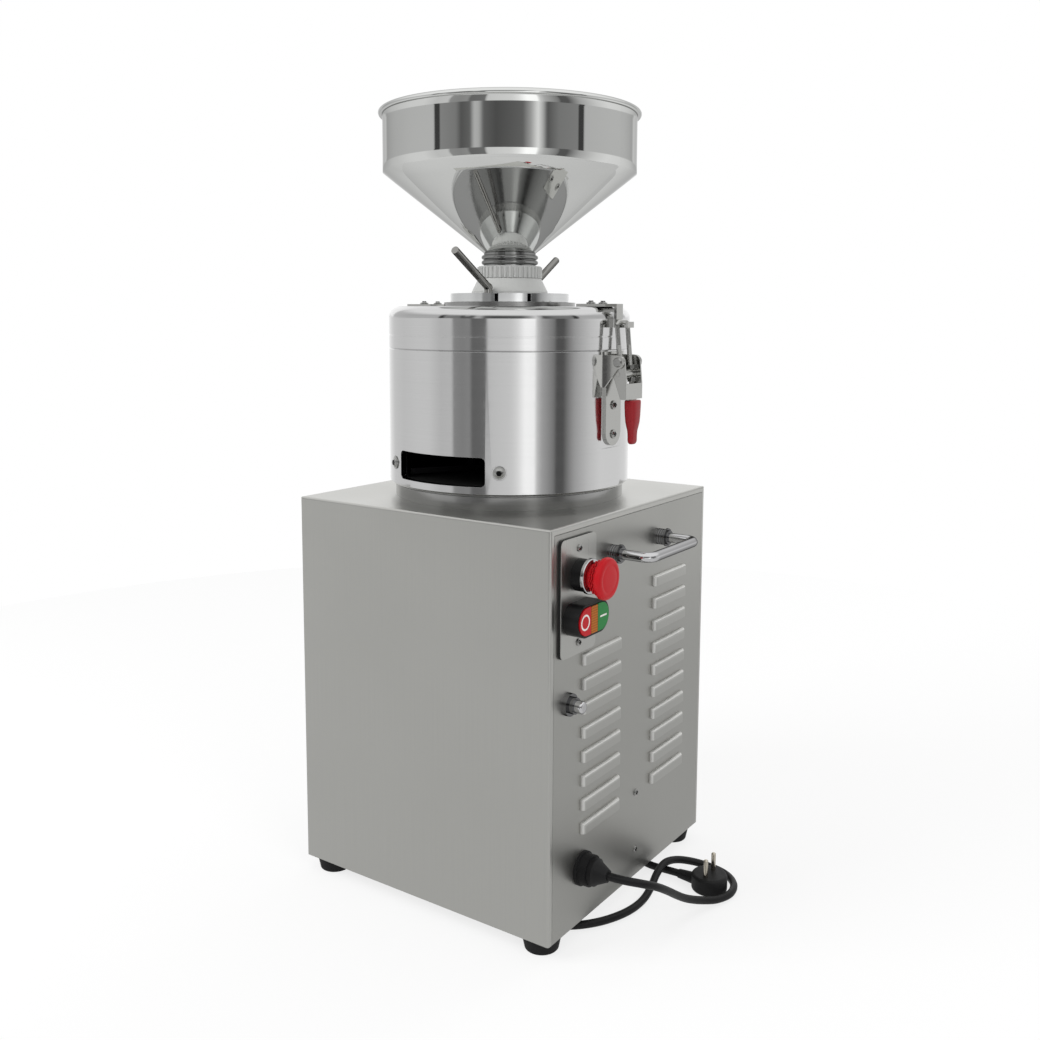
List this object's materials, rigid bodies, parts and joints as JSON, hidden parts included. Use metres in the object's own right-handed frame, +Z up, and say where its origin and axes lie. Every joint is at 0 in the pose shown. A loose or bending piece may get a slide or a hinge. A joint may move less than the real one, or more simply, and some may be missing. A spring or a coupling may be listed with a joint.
{
  "type": "colloid mill",
  "caption": "Vertical colloid mill for nut paste: louvred steel cabinet, aluminium drum with over-centre latches, adjusting ring and polished hopper.",
  "frame": {"origin": "on the floor plane under the mill's axis", "axes": "+Z up the mill's axis, -Y towards the discharge window, +X towards the control panel"},
  "size_m": [0.4155, 0.32, 0.824],
  "materials": {
    "cabinet_steel": "satin brushed stainless sheet",
    "panel_steel": "satin brushed stainless sheet",
    "inner_steel": "plain sheet steel",
    "fastener_steel": "bright zinc plated",
    "latch_steel": "bright pressed stainless",
    "drum_aluminium": "turned and brushed",
    "ring_aluminium": "turned",
    "adjuster_steel": "turned bright",
    "lever_steel": "dark bright rod",
    "hopper_steel": "polished spun stainless",
    "chrome": "polished chrome",
    "ferrule_metal": "dark nickel with bright rims",
    "white_nylon": "white nylon",
    "black_plastic": "satin black",
    "red_plastic": "glossy red",
    "green_plastic": "glossy green",
    "amber_plastic": "translucent amber",
    "red_vinyl": "soft dipped vinyl",
    "rubber": "matt black rubber",
    "cord_pvc": "satin black PVC",
    "pin_brass": "nickel plated brass",
    "grinding_stone": "bonded abrasive on iron",
    "motor_paint": "grey paint",
    "bearing_steel": "ground steel",
    "shaft_steel": "ground steel"
  },
  "bodies": {
    "cabinet": {"cabinet_shell": "cabinet_steel", "side_panel": "panel_steel", "base_plate": "inner_steel", "feet": "rubber", "foot_screws": "fastener_steel", "panel_bracket": "inner_steel", "panel_screws": "fastener_steel", "control_plate": "panel_steel", "estop_housing": "black_plastic", "estop_ring": "chrome", "button_body": "black_plastic", "pilot_lens": "amber_plastic", "contact_blocks": "black_plastic", "overload_switch": "fastener_steel", "handle": "chrome", "handle_ferrules": "ferrule_metal", "cable_gland": "black_plastic", "gland_nut": "black_plastic", "cord": "cord_pvc", "plug": "black_plastic", "plug_pins": "pin_brass", "base_ring": "ring_aluminium", "drum": "drum_aluminium", "discharge_screws": "fastener_steel", "cover": "drum_aluminium", "cover_seal": "rubber", "cover_keepers": "latch_steel", "keeper_screws": "fastener_steel", "latch_bases": "latch_steel", "latch_rivets": "fastener_steel", "latch_screws": "fastener_steel", "retaining_flange": "ring_aluminium", "guide_pins": "fastener_steel", "shaft_seal": "rubber", "motor_housing": "motor_paint", "fan_cowl": "motor_paint", "bearings": "bearing_steel", "motor_bolts": "fastener_steel"},
    "rotor": {"drive_shaft": "shaft_steel", "rotor_hub": "adjuster_steel", "rotor_stone": "grinding_stone", "motor_fan": "black_plastic"},
    "adjuster": {"adjusting_disc": "adjuster_steel", "adjusting_levers": "lever_steel"},
    "stator": {"stator_sleeve": "adjuster_steel", "stator_stone": "grinding_stone", "hopper_collar": "white_nylon", "hopper": "hopper_steel"},
    "union": {"union_nut": "white_nylon"},
    "latch_right": {"latch_lever_right": "latch_steel", "latch_grip_right": "red_vinyl"},
    "latch_left": {"latch_lever_left": "latch_steel", "latch_grip_left": "red_vinyl"},
    "bolt_right": {"latch_bolt_right": "latch_steel"},
    "bolt_left": {"latch_bolt_left": "latch_steel"},
    "estop_plunger": {"estop_stem": "fastener_steel"},
    "estop_knob": {"estop_head": "red_plastic"},
    "stop": {"stop_button": "red_plastic"},
    "start": {"start_button": "green_plastic"},
    "reset": {"reset_plunger": "chrome"}
  },
  "joints": [
    {"name": "rotor_spin", "type": "hinge", "parent": "cabinet", "child": "rotor", "pos_m": [0, 0, 0.45], "axis": [0, 0, 1], "continuous": true},
    {"name": "adjuster_turn", "type": "hinge", "parent": "cabinet", "child": "adjuster", "pos_m": [0, 0, 0.628], "axis": [0, 0, 1], "range_deg": [0, 180]},
    {"name": "stator_rise", "type": "slide", "parent": "cabinet", "child": "stator", "axis": [0, 0, 1], "range_m": [0, 0.001]},
    {"name": "union_turn", "type": "hinge", "parent": "stator", "child": "union", "pos_m": [0, 0, 0.657], "axis": [0, 0, 1], "range_deg": [0, 90]},
    {"name": "latch_right_open", "type": "hinge", "parent": "cabinet", "child": "latch_right", "pos_m": [0.146, 0, 0.5646], "axis": [0, -1, 0], "range_deg": [0, 120]},
    {"name": "latch_left_open", "type": "hinge", "parent": "cabinet", "child": "latch_left", "pos_m": [-0.146, 0, 0.5646], "axis": [0, 1, 0], "range_deg": [0, 120]},
    {"name": "bolt_right_swing", "type": "hinge", "parent": "latch_right", "child": "bolt_right", "pos_m": [0.145, 0, 0.5526], "axis": [0, -1, 0], "range_deg": [-108, 0]},
    {"name": "bolt_left_swing", "type": "hinge", "parent": "latch_left", "child": "bolt_left", "pos_m": [-0.145, 0, 0.5526], "axis": [0, 1, 0], "range_deg": [-108, 0]},
    {"name": "estop_press", "type": "slide", "parent": "cabinet", "child": "estop_plunger", "axis": [-1, 0, 0], "range_m": [0, 0.004]},
    {"name": "estop_twist", "type": "hinge", "parent": "estop_plunger", "child": "estop_knob", "pos_m": [0.18, -0.116, 0.3695], "axis": [1, 0, 0], "range_deg": [0, 45], "stiffness_Nm_per_rad": 0.1},
    {"name": "stop_press", "type": "slide", "parent": "cabinet", "child": "stop", "axis": [-1, 0, 0], "range_m": [0, 0.003], "stiffness_N_per_m": 600},
    {"name": "start_press", "type": "slide", "parent": "cabinet", "child": "start", "axis": [-1, 0, 0], "range_m": [0, 0.003], "stiffness_N_per_m": 600},
    {"name": "reset_press", "type": "slide", "parent": "cabinet", "child": "reset", "axis": [-1, 0, 0], "range_m": [0, 0.0025], "stiffness_N_per_m": 600}
  ],
  "couplings": [
    {"joint": "stator_rise", "follows": "adjuster_turn", "m_per_rad": 0.000318},
    {"joint": "bolt_right_swing", "follows": "latch_right_open", "ratio": -0.89},
    {"joint": "bolt_left_swing", "follows": "latch_left_open", "ratio": -0.89}
  ]
}
